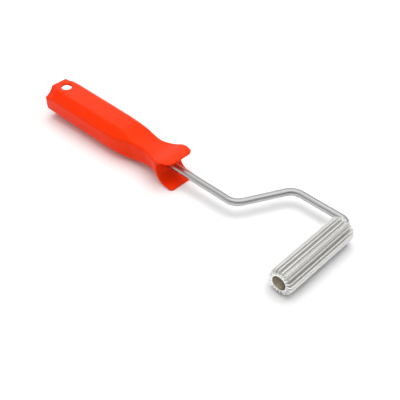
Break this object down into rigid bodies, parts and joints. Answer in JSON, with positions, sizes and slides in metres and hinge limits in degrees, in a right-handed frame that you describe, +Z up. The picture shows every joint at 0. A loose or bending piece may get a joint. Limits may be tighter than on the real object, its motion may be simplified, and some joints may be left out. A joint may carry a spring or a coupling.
{
  "type": "laminating roller",
  "caption": "Hand laminating roller: lengthwise-finned metal roller turning on a bent wire frame, with a faceted plastic handle that has a hang hole and an open rear socket.",
  "frame": {"origin": "middle of the tool's footprint, on the surface it lies on", "axes": "+X from the handle to the roller, +Y across the tool along the roller's axle towards the wire's bend, +Z up"},
  "size_m": [0.2946, 0.0858, 0.0294],
  "materials": {
    "orange_plastic": "satin moulded",
    "bright_steel": "bright drawn",
    "aluminium": "extruded, bare",
    "white_nylon": "satin"
  },
  "bodies": {
    "frame": {"handle_grip": "orange_plastic", "wire_frame": "bright_steel", "inboard_washer": "bright_steel", "outboard_washer": "bright_steel", "retaining_ring": "bright_steel"},
    "roller": {"finned_roller": "aluminium", "inboard_bush": "white_nylon", "outboard_bush": "white_nylon"}
  },
  "joints": [
    {"name": "roller_spin", "type": "hinge", "parent": "frame", "child": "roller", "pos_m": [0.13687, -0.0041, 0.01049], "axis": [0, 1, 0], "continuous": true}
  ]
}
